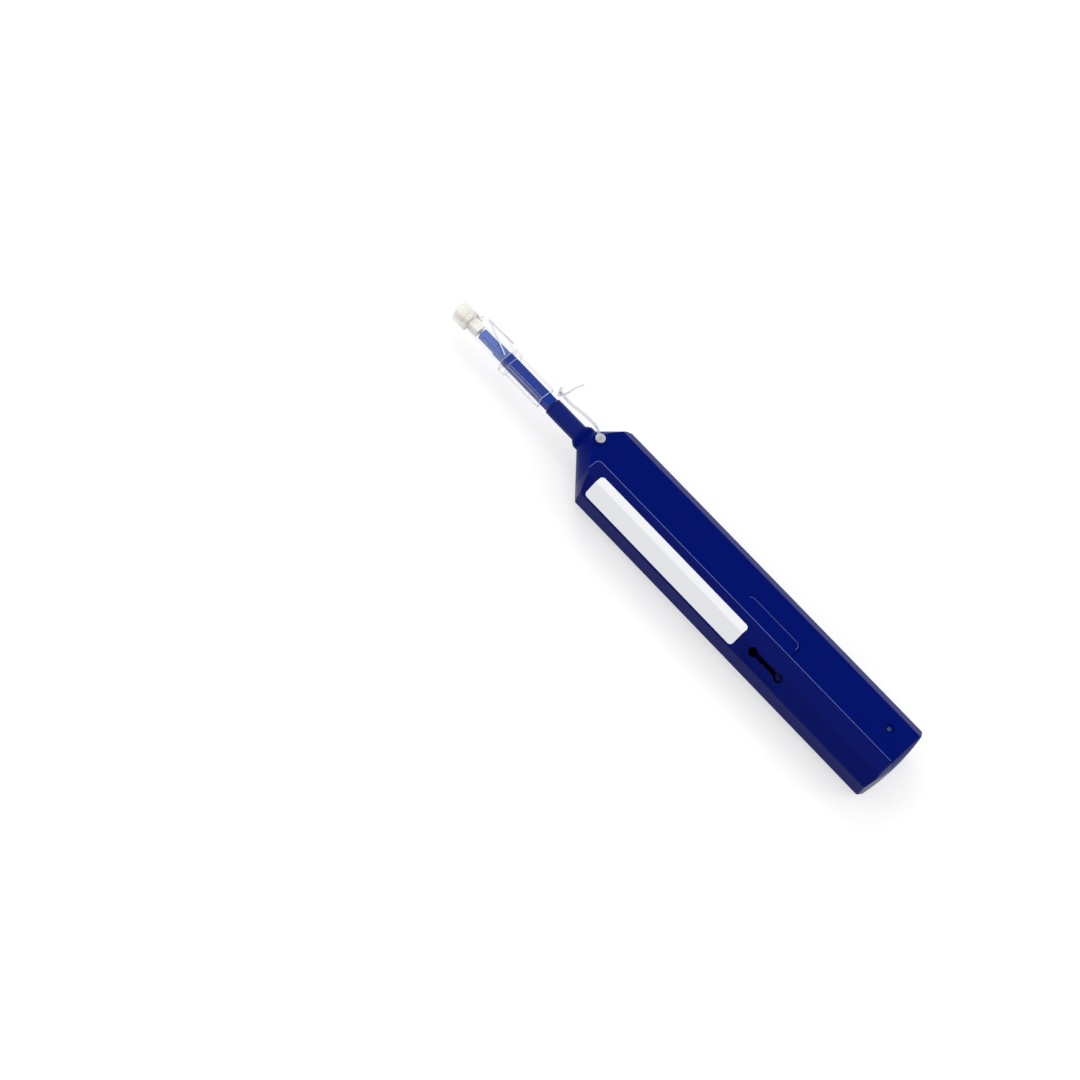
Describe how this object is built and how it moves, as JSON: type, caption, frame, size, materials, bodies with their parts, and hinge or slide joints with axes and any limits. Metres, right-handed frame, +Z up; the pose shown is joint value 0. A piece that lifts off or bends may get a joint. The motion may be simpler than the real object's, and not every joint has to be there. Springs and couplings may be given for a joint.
{
  "type": "fibre connector cleaning pen",
  "caption": "Push-type cleaning pen for fibre connectors: flat octagonal case, sliding nozzle with turning cleaning head, clear guide cap on a tether.",
  "frame": {"origin": "centre of the overall box, on the wide flat face that the pen lies on", "axes": "+X along the pen from the rear end to the nozzle's tip, +Y to the side of the removable case cover and the latch slot, +Z up, square to the wide faces"},
  "size_m": [0.2322, 0.033, 0.0195],
  "materials": {
    "case_blue": "satin moulded ABS, deep blue",
    "cover_blue": "satin moulded ABS, deep blue",
    "neck_blue": "smooth acetal, blue",
    "tube_blue": "smooth acetal, blue",
    "guide_blue": "smooth acetal, lighter blue",
    "latch_blue": "moulded, blue",
    "label_white": "blank film label, satin",
    "button_clear": "translucent",
    "strap_clear": "translucent, flexible",
    "cap_clear": "clear polypropylene",
    "lid_clear": "clear polypropylene",
    "ferrule_cream": "cream, translucent",
    "plug_cream": "cream",
    "frame_white": "moulded acetal",
    "reel_white": "moulded acetal",
    "gear_white": "moulded acetal",
    "thread_white": "woven micro-fibre thread",
    "pin_steel": "bright",
    "axle_steel": "ground",
    "shaft_steel": "ground",
    "leaf_steel": "spring strip",
    "spring_steel": "spring wire"
  },
  "bodies": {
    "housing": {"main_case": "case_blue", "side_cover": "cover_blue", "case_pin": "pin_steel", "blank_label": "label_white", "tether_button": "button_clear", "tether_strap": "strap_clear"},
    "cleaning_unit": {"unit_frame": "frame_white", "take_up_axle": "axle_steel", "supply_axle": "axle_steel", "cam_pin": "axle_steel", "ratchet_leaf": "leaf_steel", "return_spring": "spring_steel", "latch_spring": "spring_steel"},
    "nozzle": {"neck_sleeve": "neck_blue", "nozzle_tube": "tube_blue", "head_guide": "guide_blue", "rack_bar": "gear_white"},
    "tip": {"head_shaft": "shaft_steel", "cam_drum": "gear_white", "cleaning_thread": "thread_white"},
    "drive_gear": {"drive_gear": "gear_white"},
    "take_up_reel": {"take_up_reel": "reel_white", "used_thread": "thread_white"},
    "supply_reel": {"supply_reel": "reel_white", "fresh_thread": "thread_white"},
    "latch_button": {"latch_button": "latch_blue"},
    "guide_cap": {"guide_cap": "cap_clear", "ferrule_guide": "ferrule_cream"},
    "dust_lid": {"dust_lid": "lid_clear", "lid_plug": "plug_cream"}
  },
  "joints": [
    {"name": "nozzle_extend", "type": "slide", "parent": "housing", "child": "cleaning_unit", "axis": [1, 0, 0], "range_m": [0, 0.0128], "deforming": ["tether_strap"]},
    {"name": "latch_press", "type": "slide", "parent": "cleaning_unit", "child": "latch_button", "axis": [0, -0.7071, -0.7071], "range_m": [0, 0.0012], "stiffness_N_per_m": 400, "springref_m": -0.001, "deforming": ["latch_spring"]},
    {"name": "push_stroke", "type": "slide", "parent": "cleaning_unit", "child": "nozzle", "axis": [-1, 0, 0], "range_m": [0, 0.009], "stiffness_N_per_m": 300, "springref_m": -0.005, "deforming": ["return_spring", "tether_strap"]},
    {"name": "head_turn", "type": "hinge", "parent": "nozzle", "child": "tip", "pos_m": [0, -0.0026, 0.009], "axis": [1, 0, 0], "range_deg": [0, 180]},
    {"name": "gear_turn", "type": "hinge", "parent": "cleaning_unit", "child": "drive_gear", "pos_m": [-0.04025, 0.0005, 0.0046], "axis": [0, 0, -1], "range_deg": [0, 72]},
    {"name": "take_up_turn", "type": "hinge", "parent": "cleaning_unit", "child": "take_up_reel", "pos_m": [-0.04025, 0.0005, 0.01], "axis": [0, 0, -1], "range_deg": [0, 72]},
    {"name": "supply_turn", "type": "hinge", "parent": "cleaning_unit", "child": "supply_reel", "pos_m": [-0.06225, -0.0034, 0.01], "axis": [0, 0, -1], "range_deg": [0, 41]},
    {"name": "cap_pull", "type": "slide", "parent": "nozzle", "child": "guide_cap", "axis": [1, 0, 0], "range_m": [0, 0.036], "deforming": ["tether_strap"]},
    {"name": "lid_flip", "type": "hinge", "parent": "guide_cap", "child": "dust_lid", "pos_m": [0.10745, -0.00705, 0.009], "axis": [0, 0, -1], "range_deg": [0, 110]}
  ],
  "couplings": [
    {"joint": "head_turn", "follows": "push_stroke", "rad_per_m": 349},
    {"joint": "gear_turn", "follows": "push_stroke", "rad_per_m": 138.89},
    {"joint": "take_up_turn", "follows": "push_stroke", "rad_per_m": 138.89},
    {"joint": "supply_turn", "follows": "push_stroke", "rad_per_m": 77.778}
  ]
}
